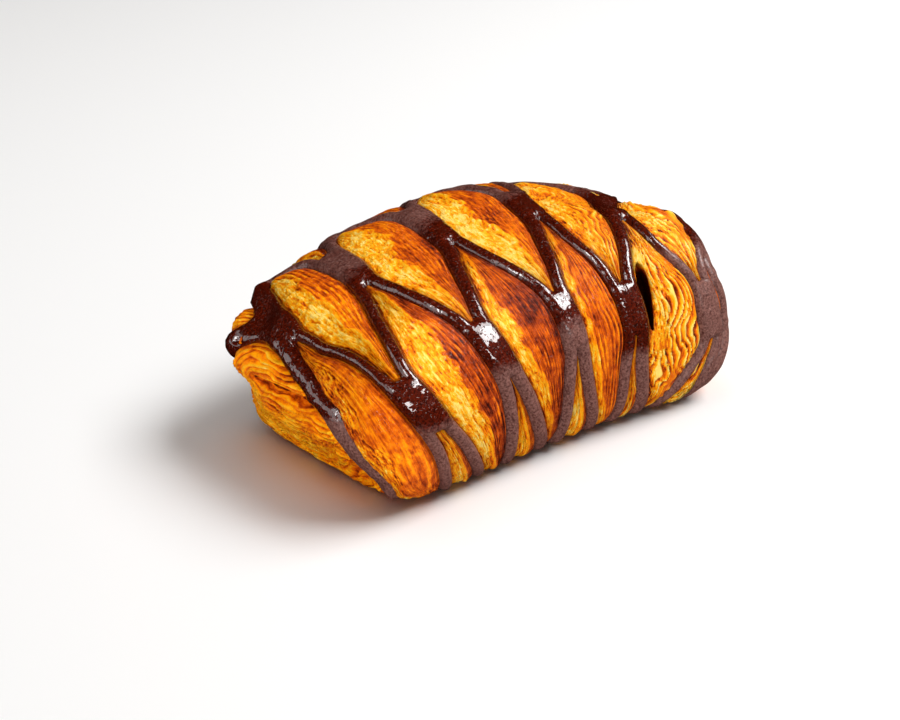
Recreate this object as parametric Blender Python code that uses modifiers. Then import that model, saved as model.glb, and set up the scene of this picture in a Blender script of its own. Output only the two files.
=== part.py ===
"""A pain au chocolat at its real size: a baked laminated roll under a net of dark chocolate strips,
with the bar of chocolate filling that shows through a split between two lobes of the crust.

The roll lies along X on its flat underside, Z = 0. Its shape is a closed surface over two angles:
polar, measured from the +X end, and girth, measured round the X axis from +Y (the back, 0 degrees)
over the top (90) to the front, -Y (180), and under the roll (270). Places along the roll are given in
metres as "stations", where station = HALF_LENGTH * cos(polar).
"""
import math

import bmesh
import bpy
import numpy as np
from mathutils import Matrix, Vector

# The smooth roll, in metres
HALF_LENGTH = 0.0607
HALF_WIDTH = 0.0417
BELT_HEIGHT = 0.0217      # the widest outline, above the table
CROWN_RISE = 0.0290       # from the belt to the top, halfway along
BELLY_DEPTH = 0.0240      # from the belt down; more than BELT_HEIGHT, so the underside is cut flat
DIRECTION_RISE = 0.030    # sets how evenly the girth angle is spread
CROWN_TILT = 0.16         # how much higher the crown is towards +X
WIDTH_TILT = 0.04         # how much wider the roll is towards +X
SWEEP = -0.0055           # how far both ends are bent to the front
UNDERCUT = (0.86, 0.007, 1.3)      # share of the left half where it sets in, depth, how late it deepens
RIGHT_LIFT = (0.6, 0.10)           # share of the right half where the belly starts to rise, and how much
PLAN_EXPONENTS = {"front_left": 8.2, "front_right": 5.0, "back_left": 3.3, "back_right": 1.8}
CROWN_EXPONENT = 2.68
BELLY_EXPONENT = 4.2

# The chocolate net, with its twelve strips from left to right
STRIP_HALF_WIDTHS = (0.0028, 0.0016, 0.0017, 0.0019, 0.0020, 0.0018, 0.0019, 0.0017, 0.0020, 0.0015, 0.0015,
                     0.0024)
STRIP_RISE = 0.0014
STRIP_TOP_SHARE = 0.55    # width of a strip's flat top, as a share of its whole width
NODE_SPREAD = 0.0019      # half the distance between two strips that run side by side
BAND_SPREAD = 0.0027      # the same at the upper end of the wide bands
SHALLOW_BOWS = (-0.0035, -0.0010, -0.0017, -0.0023, -0.0038)     # how far the right-going strips bow
STEEP_BOWS = (-0.0014, -0.0011, -0.0010, -0.0003, -0.0009)       # and the left-going ones
BOW_PLACE = 0.42          # and how far down their run
FILM_DROP = 0.0005        # how far the film between the first two strips lies under their tops
FILM_END = 8              # girth where the film's lower edge leaves the strips
FILM_SAG = 24             # and how far up it arches between them
FILM_TOP = 84
NET_FADE = (218, 226)     # girth over which the front of the net thins out under the roll
NET_FADE_BACK = (-42, -32)

# The net's nodes, from left to right: stations in metres, girth in degrees. Two strips run together
# as a wide band from a band top to a top split, and from a front meeting down to a front split. On the
# crest the left-going strip turns left and meets the strip before at a knob; both run down the back.
TOP_SPLITS = ((-0.0532, 84), (-0.0342, 95), (-0.0098, 100), (0.0151, 106), (0.0298, 121), (0.0411, 148))
BAND_TOPS = ((-0.0490, 60), (-0.0273, 58), (-0.0043, 63), (0.0216, 80), (0.0438, 91), (0.0519, 128))
CREST_BENDS = ((-0.0289, 48), (-0.0085, 56), (0.0163, 58), (0.0389, 76), (0.0497, 88))
KNOBS = ((-0.0362, 37), (-0.0182, 46), (0.0074, 48), (0.0285, 60), (0.0465, 72))
FRONT_MEETINGS = ((-0.0396, 147), (-0.0221, 138), (0.0005, 140), (0.0178, 146), (0.0376, 157))
FRONT_SPLITS = ((-0.0358, 180), (-0.0187, 168), (0.0022, 168), (0.0205, 171), (0.0397, 187))
BACK_SPLITS = ((-0.0330, 10), (-0.0140, 12), (0.0090, 13), (0.0290, 14), (0.0430, 18))
FRONT_ENDS = ((-0.0306, -0.0234), (-0.0164, -0.0066), (-0.0020, 0.0082), (0.0146, 0.0212), (0.0250, 0.0322))
FRONT_END_GIRTH = 214     # where both strips that leave a front split end
BACK_END_GIRTH = -34      # and those that leave a back split
BACK_END_PULL = 0.75      # these gather towards the middle by this factor
BACK_END_SPREAD = 0.0036
# The first strip runs round the left end face and the last one round the right end
LEFT_RIM = ((-36, -0.0370), (-20, -0.0425), (-4, -0.0465), (12, -0.0488), (28, -0.0498), (46, -0.0503),
            (62, -0.0533), (79, -0.0560), (100, -0.0577), (148, -0.0580), (185, -0.0547), (206, -0.0505),
            (214, -0.0468), (219, -0.0425), (223, -0.0385))
RIGHT_RIM = ((-36, 0.0400), (-16, 0.0500), (12, 0.0550), (50, 0.0560), (80, 0.0548), (106, 0.0519),
             (128, 0.0470), (147, 0.0446), (156, 0.0440), (172, 0.0456), (191, 0.0447), (205, 0.0385),
             (214, 0.0340))
PATH_SMOOTHING = 5.0      # degrees of girth over which a strip's corners are rounded

# The lobes of crust that swell between the strips
VALLEY_DEPTH = 0.0004
LOBE_RISE = 0.0015
LOBE_STEP = 0.0007        # height of the torn layer edge that runs along each lobe
LOBE_STEP_PLACE = 0.42
LOBE_STEP_WOBBLE = 0.07
LOBE_RINGS = (0.13, 0.36, 0.43, 0.70, 0.88)     # shares of a lobe's width, left to right
LOBE_FULL_WIDTH = 0.006   # a lobe wider than this swells fully
MERGE_WIDTH = 0.0006      # strips closer than this are one band

# The end faces: two lips of folded dough with a slot between them
LIP_SLOT_DEPTH = 0.0022
LIP_SLOT_HALF_WIDTH = 0.0014
LIP_RISE = 0.0010
LIP_DISTANCE = 0.0065
LEFT_SLOT = ((0.010, 0.0215), (-0.019, 0.0235))      # its two ends: y and z
RIGHT_SLOT = ((0.012, 0.0220), (-0.016, 0.0225))
CAP_RINGS = 6

# Swellings of the whole roll: station, girth, reach along the roll, reach in girth, height
SWELLINGS = ((-0.047, 16, 0.007, 16, 0.0036),
             (-0.046, 47, 0.006, 12, -0.0026),
             (0.040, 100, 0.010, 24, -0.0009),
             (0.008, 70, 0.024, 24, 0.0012),
             (-0.050, -5, 0.008, 22, -0.0010),
             (0.048, 112, 0.007, 14, 0.0020),
             (0.054, 145, 0.008, 26, 0.0030),
             (0.030, 85, 0.008, 20, -0.0012),
             (-0.030, 60, 0.012, 20, -0.0019),
             (-0.045, 215, 0.012, 14, -0.0013),
             (0.045, 205, 0.012, 18, 0.0016),
             (0.045, 86, 0.006, 12, 0.0006),
             (0.040, 110, 0.005, 9, -0.0016),
             (0.0465, 123, 0.006, 9, 0.0016),
             (0.0435, 153, 0.008, 13, -0.0016),
             (0.0457, 186, 0.010, 18, 0.0007),
             (0.038, 210, 0.010, 12, 0.0012),
             (-0.047, 18, 0.006, 9, 0.0006),
             (-0.038, 33, 0.003, 5, 0.0015),
             (-0.044, 31, 0.003, 5, -0.0015),
             (-0.0515, 3, 0.006, 11, 0.0019),
             (-0.045, -44, 0.007, 12, 0.0006))

# The split in the crust and the filling behind it
SPLIT_PLACE = (0.0262, -0.0418, 0.0355)      # middle of its mouth
SPLIT_RUN = (0.0, -0.33, -0.94)              # the way its mouth runs over the crust
SPLIT_INWARD = (0.50, 0.80, -0.28)           # the way it goes in
SPLIT_LENGTH = 0.0180
SPLIT_WIDTH = 0.0026
SPLIT_DEPTH = 0.0120                         # from the crust to the filling
SPLIT_OUTSIDE = 0.0050                       # how far the cutter stands out of the crust
SPLIT_SIDES = 14
FILLING_SIZE = (0.084, 0.012, 0.009)
FILLING_PLACE = (-0.002, -0.0275, 0.0310)
FILLING_EDGE = 0.0024
FILLING_EDGE_STEPS = 2
CLEARANCE = 0.0004

# Where the roll's own zero lies once the whole is centred on the origin
CENTRING = (-0.0008, 0.0016, 0.0)

CRUST_COLOUR = (0.52, 0.21, 0.035)
CHOCOLATE_COLOUR = (0.045, 0.014, 0.008)
FILLING_COLOUR = (0.022, 0.009, 0.006)

COLUMNS_ROUND = 54        # from the lower back edge over the top to the lower front edge
COLUMNS_UNDER = 8
UNDERSIDE_START = 226     # girth where the fine columns end at the front
UNDERSIDE_END = 314       # and where they start again at the back
RELIEF_START = (0.0002, 0.004)     # heights over the table between which the relief sets in
SMALLEST_EDGE = 0.00012
WELD = 0.000001


def blend(value, low, high):
    """0 below low, 1 above high and a smooth rise between."""
    share = np.clip((value - low) / (high - low), 0.0, 1.0)
    return share * share * (3.0 - 2.0 * share)


def roll_point(polar, girth):
    """Point of the smooth roll; both angles in radians, as numbers or arrays."""
    x = HALF_LENGTH * np.cos(polar) + 0.0 * girth
    y = HALF_WIDTH * np.sin(polar) * np.cos(girth)
    z = DIRECTION_RISE * np.sin(polar) * np.sin(girth)
    back = 0.5 + 0.5 * np.tanh(3.0 * y / HALF_WIDTH)
    right = 0.5 + 0.5 * np.tanh(3.0 * x / HALF_LENGTH)
    front_power = PLAN_EXPONENTS["front_left"] * (1 - right) + PLAN_EXPONENTS["front_right"] * right
    back_power = PLAN_EXPONENTS["back_left"] * (1 - right) + PLAN_EXPONENTS["back_right"] * right
    plan_power = front_power * (1 - back) + back_power * back
    rise_power = np.where(z >= 0, CROWN_EXPONENT, BELLY_EXPONENT)
    rise = np.where(z >= 0, CROWN_RISE, BELLY_DEPTH)
    plan = (np.abs(x / HALF_LENGTH) ** plan_power + np.abs(y / HALF_WIDTH) ** plan_power) ** (1 / plan_power)
    reach = (plan ** rise_power + np.abs(z / rise) ** rise_power) ** (-1 / rise_power)
    x, y, z = x * reach, y * reach, z * reach
    along = x / HALF_LENGTH
    low = np.clip(-z / BELT_HEIGHT, 0, 1) ** UNDERCUT[2]
    lift = RIGHT_LIFT[1] * blend(along, RIGHT_LIFT[0], 1.0)
    x = x + UNDERCUT[1] * blend(-along, UNDERCUT[0], 1.0) * low
    z = np.where(z > 0, z * (1 + CROWN_TILT * along), z * (1 - lift))
    y = y * (1 + WIDTH_TILT * along) + SWEEP * along ** 2
    return np.stack([x, y, np.maximum(z + BELT_HEIGHT, 0.0)], axis=-1)


def roll_slopes(polar, girth, step=1e-3):
    """How the point moves for each radian of polar and of girth."""
    by_polar = (roll_point(polar + step, girth) - roll_point(polar - step, girth)) / (2 * step)
    by_girth = (roll_point(polar, girth + step) - roll_point(polar, girth - step)) / (2 * step)
    return by_polar, by_girth


def roll_normal(polar, girth):
    """Outward direction of the smooth roll."""
    by_polar, by_girth = roll_slopes(np.clip(polar, 0.02, math.pi - 0.02), girth)
    normal = np.cross(by_polar, by_girth)
    return normal / (np.linalg.norm(normal, axis=-1, keepdims=True) + 1e-12)


def smooth_path(points, girth):
    """Stations of a strip at the girths, from its (girth, station) points, with rounded corners."""
    degrees, stations = zip(*sorted(points))
    degrees = [*degrees, degrees[0] + 360]
    stations = [*stations, stations[0]]
    offsets = np.linspace(-PATH_SMOOTHING, PATH_SMOOTHING, 5)
    return np.mean([np.interp(girth + shift, degrees, stations) for shift in offsets], axis=0)


def back_end(number, side):
    """Lower end of one of the two strips that leave a back split."""
    return BACK_END_GIRTH, BACK_END_PULL * BACK_SPLITS[number][0] + side * BACK_END_SPREAD


def node_point(node, side, spread=NODE_SPREAD):
    """A strip's place at a node that it shares with the next strip."""
    return node[1], node[0] + side * spread


def bowed_point(start, end, bow):
    """A point of a strip's run between two nodes, pushed along the roll."""
    girth = start[0] + (end[0] - start[0]) * BOW_PLACE
    return girth, start[1] + (end[1] - start[1]) * BOW_PLACE + bow


def right_going_strip(number):
    """The strip that leaves a top split to the right, from its lower back end to its lower front end."""
    top = node_point(TOP_SPLITS[number], 1)
    meeting = node_point(FRONT_MEETINGS[number], -1)
    return [back_end(number, -1),
            node_point(BACK_SPLITS[number], -1),
            node_point(KNOBS[number], -1),
            node_point(BAND_TOPS[number], 1, BAND_SPREAD),
            top, bowed_point(top, meeting, SHALLOW_BOWS[number]), meeting,
            node_point(FRONT_SPLITS[number], -1),
            (FRONT_END_GIRTH, FRONT_ENDS[number][0])]


def left_going_strip(number):
    """The strip that leaves a top split to the left and meets the previous right-going one."""
    before = number - 1
    top = node_point(TOP_SPLITS[number], -1)
    meeting = node_point(FRONT_MEETINGS[before], 1)
    return [back_end(before, 1),
            node_point(BACK_SPLITS[before], 1),
            node_point(KNOBS[before], 1),
            node_point(CREST_BENDS[before], 0),
            node_point(BAND_TOPS[number], -1, BAND_SPREAD),
            top, bowed_point(top, meeting, STEEP_BOWS[before]), meeting,
            node_point(FRONT_SPLITS[before], 1),
            (FRONT_END_GIRTH, FRONT_ENDS[before][1])]


def all_strips():
    """Every strip from left to right."""
    last = len(TOP_SPLITS) - 1
    strips = [LEFT_RIM, right_going_strip(0)]
    for number in range(1, last + 1):
        strips.append(left_going_strip(number))
        strips.append(RIGHT_RIM if number == last else right_going_strip(number))
    return strips


def column_girths():
    """Girth in degrees of each column of vertices, once round the roll."""
    fine = np.linspace(UNDERSIDE_END - 360, UNDERSIDE_START, COLUMNS_ROUND, endpoint=False)
    coarse = np.linspace(UNDERSIDE_START, UNDERSIDE_END, COLUMNS_UNDER, endpoint=False)
    return np.concatenate([fine, coarse])


def strip_width_angle(polar, girth, half_width):
    """Half a strip's width as a polar angle, allowing for the strip's slant."""
    by_polar, by_girth = roll_slopes(polar, girth)
    turn = np.gradient(polar, girth)[:, None]
    run = by_polar * turn + by_girth
    cross = np.linalg.norm(np.cross(by_polar, run), axis=-1)
    across = cross / (np.linalg.norm(run, axis=-1) + 1e-9)
    return half_width / np.maximum(across, 0.4 * np.linalg.norm(by_polar, axis=-1))


def net_strength(degrees):
    """1 where the net is at full height, 0 under the roll."""
    front = 1 - blend(degrees, *NET_FADE)
    back = blend(degrees, *NET_FADE_BACK)
    return front * back


def slot_relief(point, slot):
    """Height of an end face: lips that swell on both sides of a slot."""
    (y_0, z_0), (y_1, z_1) = slot
    run_y, run_z = y_1 - y_0, z_1 - z_0
    share = ((point[..., 1] - y_0) * run_y + (point[..., 2] - z_0) * run_z) / (run_y ** 2 + run_z ** 2)
    share = np.clip(share, 0, 1)
    distance = np.hypot(point[..., 1] - y_0 - share * run_y, point[..., 2] - z_0 - share * run_z)
    slot_depth = LIP_SLOT_DEPTH * np.exp(-(distance / LIP_SLOT_HALF_WIDTH) ** 2)
    lips = LIP_RISE * np.exp(-((distance - LIP_DISTANCE) / LIP_DISTANCE * 1.6) ** 2)
    return lips - slot_depth


def swelling(polar, girth):
    """Unevenness of the whole roll."""
    station = HALF_LENGTH * np.cos(polar)
    degrees = np.degrees(girth)
    height = 0.0
    for place, centre, reach, spread, rise in SWELLINGS:
        turn = (degrees - centre + 180) % 360 - 180
        height = height + rise * np.exp(-((station - place) / reach) ** 2 - (turn / spread) ** 2)
    return height


def lobe_rings(left, right, degrees, number):
    """Rings of one lobe: for each, its share of the lobe's width, its polar angles and its heights."""
    width = gap_width(left, right, np.radians(degrees))
    full = np.clip(width / LOBE_FULL_WIDTH, 0, 1)
    wobble = np.sin(np.radians(degrees) * 7 + number * 2.1) + 0.6 * np.sin(np.radians(degrees) * 17 + number)
    rings = []
    for share in LOBE_RINGS:
        place = share
        if 0.3 < share < 0.5:
            place = share + LOBE_STEP_WOBBLE * wobble
        swell = LOBE_RISE * (4 * share * (1 - share)) ** 0.5
        if share < LOBE_STEP_PLACE:
            swell = swell - LOBE_STEP
        height = swell * full - VALLEY_DEPTH
        rings.append((share, left + (right - left) * place, height))
    return rings


def film_cover(share, degrees):
    """Where a film of chocolate covers the space between two strips; its lower edge is an arch."""
    arch = FILM_END + FILM_SAG * 4 * share * (1 - share)
    return (degrees > arch) & (degrees < FILM_TOP)


def ring_table():
    """Every ring of vertices from the left end to the right end: its polar angles, its heights over
    the smooth roll and where it is chocolate, at every column."""
    degrees = column_girths()
    girth = np.radians(degrees)
    strength = net_strength(degrees)
    netted = strength > 0.3
    bare = np.zeros(len(girth), dtype=bool)
    band_height = STRIP_RISE * strength
    foot_height = -VALLEY_DEPTH * strength
    strips = strip_lines(degrees)
    edges = [strip_edges(strips, number, girth) for number in range(len(strips))]
    rings = []
    first_edge = edges[0][0]
    for ring in range(1, CAP_RINGS + 1):
        polar = math.pi + (first_edge - math.pi) * ring / (CAP_RINGS + 1)
        rings.append((polar, slot_relief(roll_point(polar, girth), LEFT_SLOT) * strength, bare))
    for number, (polar, half) in enumerate(strips):
        left_edge, right_edge, left_joined, right_joined = edges[number]
        top_left = np.minimum(polar + half * STRIP_TOP_SHARE, left_edge)
        top_right = np.maximum(polar - half * STRIP_TOP_SHARE, right_edge)
        rings.append((left_edge, np.where(left_joined, band_height, foot_height), netted))
        rings.append((top_left, band_height, netted))
        rings.append((top_right, band_height, netted))
        rings.append((right_edge, np.where(right_joined, band_height, foot_height), netted))
        if number < len(strips) - 1:
            next_edge = edges[number + 1][0]
            for share, lobe_polar, lobe_height in lobe_rings(right_edge, next_edge, degrees, number):
                film = film_cover(share, degrees) & (number == 0)
                height = np.where(film, STRIP_RISE - FILM_DROP, lobe_height) * strength
                height = np.where(right_joined, band_height, height)
                rings.append((lobe_polar, height, netted & (right_joined | film)))
    last_edge = edges[-1][1]
    for ring in range(CAP_RINGS, 0, -1):
        polar = last_edge * ring / (CAP_RINGS + 1)
        rings.append((polar, slot_relief(roll_point(polar, girth), RIGHT_SLOT) * strength, bare))
    return rings, girth


def strip_lines(degrees):
    """Middle line of each strip and half its width, both as polar angles at every column."""
    lines = []
    for points, half_width in zip(all_strips(), STRIP_HALF_WIDTHS):
        polar = np.arccos(smooth_path(points, degrees) / HALF_LENGTH)
        lines.append((polar, strip_width_angle(polar, np.radians(degrees), half_width)))
    return lines


def joined_girths(number):
    """Girth ranges in degrees over which a strip and the next one are one band. The strips come in
    order: left-going and right-going, in turns, so pairs leave a top split or meet at a front node."""
    node = number // 2
    if number == 0:
        return []
    if number % 2 == 0:
        return [(BAND_TOPS[node][1], TOP_SPLITS[node][1])]
    return [(FRONT_MEETINGS[node][1], FRONT_SPLITS[node][1]),
            (BACK_SPLITS[node][1], KNOBS[node][1])]


def joined_with_next(strips, number, girth):
    """Where a strip runs into the next one, and the line on which they meet."""
    if not 0 <= number < len(strips) - 1:
        return np.zeros(len(girth), dtype=bool), strips[0][0]
    left = strips[number][0] - strips[number][1]
    right = strips[number + 1][0] + strips[number + 1][1]
    joined = (left < right) | (gap_width(left, right, girth) < MERGE_WIDTH)
    for start, end in joined_girths(number):
        joined = joined | ((girth > math.radians(start)) & (girth < math.radians(end)))
    return joined, (strips[number][0] + strips[number + 1][0]) / 2


def strip_edges(strips, number, girth):
    """Left and right edge of a strip, and where each is joined with its neighbour."""
    polar, half = strips[number]
    left_joined, left_meeting = joined_with_next(strips, number - 1, girth)
    right_joined, right_meeting = joined_with_next(strips, number, girth)
    left_edge = np.where(left_joined, left_meeting, polar + half)
    right_edge = np.where(right_joined, right_meeting, polar - half)
    return left_edge, right_edge, left_joined, right_joined


def gap_width(left, right, girth):
    """Distance in metres between two polar angles at each girth."""
    return np.linalg.norm(roll_point(left, girth) - roll_point(right, girth), axis=-1)


def joined_rings(points):
    """Rings of points in which a ring that comes too close to the one before runs along it."""
    joined = [points[0]]
    for ring in points[1:]:
        distance = np.linalg.norm(ring - joined[-1], axis=-1, keepdims=True)
        joined.append(np.where(distance < SMALLEST_EDGE, joined[-1], ring))
    return joined


def make_roll():
    """The crust with its net: a sphere whose rings follow the strips and the lobes between them."""
    rings, girth = ring_table()
    columns = len(girth)
    points = joined_rings([surface_point(polar, girth, height) for polar, height, netted in rings])
    body = bmesh.new()
    bmesh.ops.create_uvsphere(body, u_segments=columns, v_segments=len(rings) + 1, radius=1.0)
    chocolate = body.verts.layers.int.new("chocolate")
    for vertex in body.verts:
        across = math.hypot(vertex.co.x, vertex.co.y)
        ring = len(rings) - round(math.atan2(across, vertex.co.z) / math.pi * (len(rings) + 1))
        column = round(math.atan2(-vertex.co.x, vertex.co.y) / (2 * math.pi) * columns) % columns
        if 0 <= ring < len(rings):
            vertex.co = points[ring][column]
            vertex[chocolate] = int(rings[ring][2][column])
        else:
            polar = math.pi if ring < 0 else 0.0
            vertex.co = surface_point(polar, 0.0, -LIP_SLOT_DEPTH)
    bmesh.ops.remove_doubles(body, verts=body.verts, dist=WELD)
    flat_edges = [edge for edge in body.edges if max(vertex.co.z for vertex in edge.verts) < WELD]
    bmesh.ops.dissolve_limit(body, angle_limit=math.radians(1), verts=[], edges=flat_edges)
    bmesh.ops.triangulate(body, faces=body.faces)
    bmesh.ops.recalc_face_normals(body, faces=body.faces)
    for face in body.faces:
        face.material_index = int(all(vertex[chocolate] for vertex in face.verts))
    body.verts.layers.int.remove(chocolate)
    mesh = bpy.data.meshes.new("pastry")
    body.to_mesh(mesh)
    body.free()
    return bpy.data.objects.new("pastry", mesh)


def surface_point(polar, girth, height):
    """Point at a height over the smooth roll. The relief dies out where the roll meets the table."""
    base = roll_point(polar, girth)
    above = blend(base[..., 2], *RELIEF_START)
    height = (height + swelling(polar, girth)) * above
    point = base + roll_normal(polar, girth) * height[..., None]
    point[..., 2] = np.maximum(point[..., 2], 0.0)
    return point


def make_bar(name, size, edge):
    """A bar with rounded edges, centred on its own origin."""
    body = bmesh.new()
    bmesh.ops.create_cube(body, size=1.0)
    bmesh.ops.scale(body, verts=body.verts, vec=size)
    mesh = bpy.data.meshes.new(name)
    body.to_mesh(mesh)
    body.free()
    bar = bpy.data.objects.new(name, mesh)
    bar.location = FILLING_PLACE
    rounding = bar.modifiers.new("rounded edges", "BEVEL")
    rounding.width = edge
    rounding.segments = FILLING_EDGE_STEPS
    return bar


def make_split():
    """The cutter of the split: a flat lens whose length runs over the crust and which goes in askew."""
    run = Vector(SPLIT_RUN).normalized()
    inward = Vector(SPLIT_INWARD)
    inward = (inward - inward.dot(run) * run).normalized()
    body = bmesh.new()
    bmesh.ops.create_cone(body, cap_ends=True, segments=SPLIT_SIDES, radius1=0.5, radius2=0.5, depth=1.0)
    size = (SPLIT_WIDTH, SPLIT_LENGTH, SPLIT_DEPTH + SPLIT_OUTSIDE)
    bmesh.ops.scale(body, verts=body.verts, vec=size)
    mesh = bpy.data.meshes.new("split")
    body.to_mesh(mesh)
    body.free()
    split = bpy.data.objects.new("split", mesh)
    split.rotation_euler = Matrix((run.cross(inward), run, inward)).transposed().to_euler()
    split.location = Vector(SPLIT_PLACE) + inward * (SPLIT_DEPTH - SPLIT_OUTSIDE) / 2
    return split


def place(thing, collection, centre):
    """Put an object into its collection and under the empty that carries the whole."""
    collection.objects.link(thing)
    thing.parent = centre


def cut(thing, cutter):
    """Take the cutter's shape out of the thing."""
    cutter.hide_render = True
    cutter.display_type = "WIRE"
    boolean = thing.modifiers.new(cutter.name, "BOOLEAN")
    boolean.operation = "DIFFERENCE"
    boolean.object = cutter


def make_material(name, colour, roughness):
    """A plain shader with one colour."""
    material = bpy.data.materials.new(name)
    material.use_nodes = True
    shader = material.node_tree.nodes["Principled BSDF"]
    shader.inputs["Base Color"].default_value = (*colour, 1.0)
    shader.inputs["Roughness"].default_value = roughness
    return material


def main():
    for thing in list(bpy.data.objects):
        bpy.data.objects.remove(thing, do_unlink=True)
    parts = bpy.data.collections.new("pain_au_chocolat")
    cutters = bpy.data.collections.new("cutters")
    bpy.context.scene.collection.children.link(parts)
    bpy.context.scene.collection.children.link(cutters)
    centre = bpy.data.objects.new("centre", None)
    centre.location = CENTRING
    parts.objects.link(centre)
    roll = make_roll()
    roll.data.materials.append(make_material("baked_crust", CRUST_COLOUR, 0.35))
    roll.data.materials.append(make_material("chocolate_net", CHOCOLATE_COLOUR, 0.2))
    place(roll, parts, centre)
    filling = make_bar("chocolate_filling", FILLING_SIZE, FILLING_EDGE)
    filling.data.materials.append(make_material("dark_chocolate", FILLING_COLOUR, 0.4))
    place(filling, parts, centre)
    channel_size = [side + 2 * CLEARANCE for side in FILLING_SIZE]
    for cutter in (make_bar("channel", channel_size, FILLING_EDGE + CLEARANCE), make_split()):
        place(cutter, cutters, centre)
        cut(roll, cutter)


main()
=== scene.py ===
"""The looks of a pain au chocolat: flaky baked crust, glossy chocolate net, filling, light and camera."""
import math

import bmesh
import bpy
import numpy as np
from mathutils import Matrix, Vector


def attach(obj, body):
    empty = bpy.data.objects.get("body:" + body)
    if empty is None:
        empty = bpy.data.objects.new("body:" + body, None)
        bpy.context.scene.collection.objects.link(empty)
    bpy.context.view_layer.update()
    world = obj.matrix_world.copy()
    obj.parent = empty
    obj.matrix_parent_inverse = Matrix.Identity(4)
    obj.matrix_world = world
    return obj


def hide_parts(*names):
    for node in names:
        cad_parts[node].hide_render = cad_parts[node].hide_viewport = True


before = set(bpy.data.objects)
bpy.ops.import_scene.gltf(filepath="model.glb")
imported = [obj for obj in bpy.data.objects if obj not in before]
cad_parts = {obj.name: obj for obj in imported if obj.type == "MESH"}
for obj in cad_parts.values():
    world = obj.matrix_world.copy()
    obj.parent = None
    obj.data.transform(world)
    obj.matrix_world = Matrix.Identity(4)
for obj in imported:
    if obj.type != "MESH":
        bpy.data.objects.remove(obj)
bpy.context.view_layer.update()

MM = 0.001

# The smooth roll, as in the solid. Lengths are in metres, girths in degrees: 0 at the back (+Y), 90 on
# top, 180 at the front, 270 under the roll. A station is the place along the roll.
CENTRING = (-0.0008, 0.0016, 0.0)
HALF_LENGTH = 0.0607
HALF_WIDTH = 0.0417
BELT_HEIGHT = 0.0217
CROWN_RISE = 0.029
BELLY_DEPTH = 0.024
DIRECTION_RISE = 0.03
CROWN_TILT = 0.16
WIDTH_TILT = 0.04
SWEEP = -0.0055
UNDERCUT = (0.86, 0.007, 1.3)  # share of the left half where it sets in, depth, how late it deepens
RIGHT_LIFT = (0.6, 0.1)  # share of the right half where the belly rises, and how much
TURN_SHARPNESS = 3.0  # how sharply the plan's exponents change over
PLAN_EXPONENTS = ((8.2, 5.0), (3.3, 1.8))  # front and back, each left and right
CROWN_EXPONENT = 2.68
BELLY_EXPONENT = 4.2
RELIEF_START = (0.0002, 0.004)  # heights over the table between which the relief sets in
# Swellings and hollows: station, girth, reach in metres, reach in degrees, height
SWELLINGS = (
    (-0.047, 16, 0.007, 16, 0.0036), (-0.046, 47, 0.006, 12, -0.0026), (0.04, 100, 0.01, 24, -0.0009),
    (0.008, 70, 0.024, 24, 0.0012), (-0.05, -5, 0.008, 22, -0.001), (0.048, 112, 0.007, 14, 0.002),
    (0.054, 145, 0.008, 26, 0.003), (0.03, 85, 0.008, 20, -0.0012), (-0.03, 60, 0.012, 20, -0.0019),
    (-0.045, 215, 0.012, 14, -0.0013), (0.045, 205, 0.012, 18, 0.0016), (0.045, 86, 0.006, 12, 0.0006),
    (0.04, 110, 0.005, 9, -0.0016), (0.0465, 123, 0.006, 9, 0.0016), (0.0435, 153, 0.008, 13, -0.0016),
    (0.0457, 186, 0.01, 18, 0.0007), (0.038, 210, 0.01, 12, 0.0012), (-0.047, 18, 0.006, 9, 0.0006),
    (-0.038, 33, 0.003, 5, 0.0015), (-0.044, 31, 0.003, 5, -0.0015), (-0.0515, 3, 0.006, 11, 0.0019),
    (-0.045, -44, 0.007, 12, 0.0006))

# The net's strips, as in the solid
STRIP_HALF_WIDTHS = (0.0028, 0.0016, 0.0017, 0.0019, 0.002, 0.0018, 0.0019, 0.0017, 0.002, 0.0015, 0.0015,
                     0.0024)
STRIP_RISE = 0.0014
NODE_SPREAD = 0.0019  # half the distance between strips side by side
BAND_SPREAD = 0.0027  # the same at the band tops
# How far the right-going and the left-going strips bow to the left, and how far down the front
SHALLOW_BOWS = (-0.0035, -0.001, -0.0017, -0.0023, -0.0038)
STEEP_BOWS = (-0.0014, -0.0011, -0.001, -0.0003, -0.0009)
BOW_PLACE = 0.42
# A thin film of chocolate lies between the first two strips
FILM_END = 8  # girth where the film's back edge leaves the strips
FILM_SAG = 24  # and how far it arches between them
FILM_TOP = 84  # girth where the strips have run together
FILM_MARGIN = (3, 2)  # how far the net is one sheet past its ends, in degrees
FILM_SHORE = 6  # girth over which the crust rises from under the film
FILM_FIELD = 0.6  # how far it stands up, against a strip

# The net's nodes, from left to right: station and girth. Two strips run together from a band top to a
# top split, and from a front meeting to a front split. On the crest the left-going strip turns left and
# meets the strip before at a knob; both run down the back.
TOP_SPLITS = ((-0.0532, 84), (-0.0342, 95), (-0.0098, 100), (0.0151, 106), (0.0298, 121), (0.0411, 148))
BAND_TOPS = ((-0.049, 60), (-0.0273, 58), (-0.0043, 63), (0.0216, 80), (0.0438, 91), (0.0519, 128))
CREST_BENDS = ((-0.0289, 48), (-0.0085, 56), (0.0163, 58), (0.0389, 76), (0.0497, 88))
KNOBS = ((-0.0362, 37), (-0.0182, 46), (0.0074, 48), (0.0285, 60), (0.0465, 72))
FRONT_MEETINGS = ((-0.0396, 147), (-0.0221, 138), (0.0005, 140), (0.0178, 146), (0.0376, 157))
FRONT_SPLITS = ((-0.0358, 180), (-0.0187, 168), (0.0022, 168), (0.0205, 171), (0.0397, 187))
BACK_SPLITS = ((-0.033, 10), (-0.014, 12), (0.009, 13), (0.029, 14), (0.043, 18))
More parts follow.
